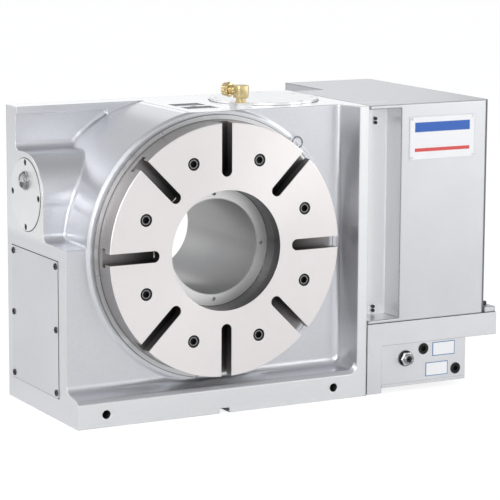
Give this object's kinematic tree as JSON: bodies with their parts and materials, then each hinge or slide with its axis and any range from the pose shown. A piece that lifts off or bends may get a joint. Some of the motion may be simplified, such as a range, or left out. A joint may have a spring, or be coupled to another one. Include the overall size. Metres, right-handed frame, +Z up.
{
  "type": "cnc rotary table",
  "caption": "Upright rotary table: T-slotted round plate on a hollow spindle, worm and gear drive, ring brake, side-mounted servo motor under a sheet-metal cover.",
  "frame": {"origin": "the spindle axis at the round plate's working face", "axes": "-Y out of the working face along the spindle axis, +Z up, +X towards the motor"},
  "size_m": [0.7695, 0.418, 0.5105],
  "materials": {
    "cast_painted": "fine silver-grey machine paint over a cast surface",
    "cover_painted": "silver-grey paint on sheet metal",
    "bracket_painted": "silver-grey paint",
    "ground_steel": "ground flat, with fine turning marks",
    "turned_steel": "fine turned steel",
    "dark_screws": "black oxide",
    "bright_screws": "zinc plated",
    "bearing_steel": "ground bearing steel",
    "bronze": "cut bronze",
    "gear_steel": "hardened gear steel",
    "brass": "yellow brass",
    "chrome": "polished",
    "seal_rubber": "black nitrile",
    "motor_black": "black motor paint",
    "plate_white": "blank white plate with a thin coloured border",
    "glass": "clear oil window",
    "black_plastic": "black plastic"
  },
  "bodies": {
    "base": {"main_casting": "cast_painted", "collar": "ground_steel", "collar_screws": "dark_screws", "front_bearing_outer": "bearing_steel", "brake_cylinder": "turned_steel", "brake_reaction_ring": "turned_steel", "worm_upper_bearing": "bearing_steel", "worm_lower_bearing": "bearing_steel", "worm_seal": "seal_rubber", "worm_cap": "ground_steel", "worm_cap_screws": "bright_screws", "rear_bearing_outer": "bearing_steel", "rear_housing": "ground_steel", "rear_housing_screws": "dark_screws", "rear_seal": "seal_rubber", "idler_pin": "turned_steel", "motor": "motor_black", "motor_screws": "dark_screws", "motor_cable_plugs": "black_plastic", "drive_housing": "bracket_painted", "drive_housing_bolts": "dark_screws", "gear_cover": "bracket_painted", "gear_cover_screws": "dark_screws", "motor_cover": "cover_painted", "motor_cover_screws": "dark_screws", "badge_plate": "plate_white", "badge_rivets": "bright_screws", "port_labels": "plate_white", "air_fitting": "chrome", "port_plugs": "dark_screws", "cable_socket": "black_plastic", "port_block": "ground_steel", "elbow": "brass", "elbow_nut": "brass", "hatch": "cover_painted", "hatch_screws": "bright_screws", "booster_cover": "cover_painted", "booster_cover_screws": "bright_screws", "sight_glass_ring": "chrome", "sight_glass": "glass"},
    "table": {"spindle": "turned_steel", "faceplate": "ground_steel", "faceplate_screws": "dark_screws", "front_bearing_inner": "bearing_steel", "brake_disc": "ground_steel", "brake_disc_screws": "dark_screws", "worm_wheel": "bronze", "worm_wheel_screws": "dark_screws", "rear_bearing_inner": "bearing_steel"},
    "front_rollers": {"front_bearing_rollers": "bearing_steel"},
    "rear_rollers": {"rear_bearing_rollers": "bearing_steel"},
    "worm": {"worm_shaft": "turned_steel", "worm_gear": "gear_steel"},
    "idler": {"idler_gear": "gear_steel"},
    "motor_rotor": {"motor_shaft": "turned_steel", "motor_pinion": "gear_steel"},
    "brake": {"brake_piston": "turned_steel"},
    "booster": {"booster_piston": "turned_steel"},
    "pull_pin": {"pull_pin": "bright_screws"}
  },
  "joints": [
    {"name": "table_spin", "type": "hinge", "parent": "base", "child": "table", "pos_m": [0, 0, 0], "axis": [0, 1, 0], "continuous": true},
    {"name": "front_roller_spin", "type": "hinge", "parent": "base", "child": "front_rollers", "pos_m": [0, 0.08, 0], "axis": [0, 1, 0], "continuous": true},
    {"name": "rear_roller_spin", "type": "hinge", "parent": "base", "child": "rear_rollers", "pos_m": [0, 0.22, 0], "axis": [0, 1, 0], "continuous": true},
    {"name": "worm_spin", "type": "hinge", "parent": "base", "child": "worm", "pos_m": [0.1425, 0.168, 0], "axis": [0, 0, 1], "continuous": true},
    {"name": "idler_spin", "type": "hinge", "parent": "base", "child": "idler", "pos_m": [0.28625, 0.168, -0.215], "axis": [0, 0, 1], "continuous": true},
    {"name": "motor_spin", "type": "hinge", "parent": "base", "child": "motor_rotor", "pos_m": [0.3925, 0.168, -0.215], "axis": [0, 0, 1], "continuous": true},
    {"name": "booster_slide", "type": "slide", "parent": "base", "child": "booster", "axis": [1, 0, 0], "range_m": [0, 0.025]},
    {"name": "brake_slide", "type": "slide", "parent": "base", "child": "brake", "axis": [0, 1, 0], "range_m": [0, 0.001]},
    {"name": "pin_pull", "type": "slide", "parent": "base", "child": "pull_pin", "axis": [0, -1, 0], "range_m": [0, 0.04]}
  ],
  "couplings": [
    {"joint": "front_roller_spin", "follows": "table_spin", "ratio": 0.47651},
    {"joint": "rear_roller_spin", "follows": "table_spin", "ratio": 0.46789},
    {"joint": "worm_spin", "follows": "table_spin", "ratio": 90},
    {"joint": "idler_spin", "follows": "table_spin", "ratio": -98.182},
    {"joint": "motor_spin", "follows": "table_spin", "ratio": 180},
    {"joint": "brake_slide", "follows": "booster_slide", "ratio": 0.04}
  ]
}
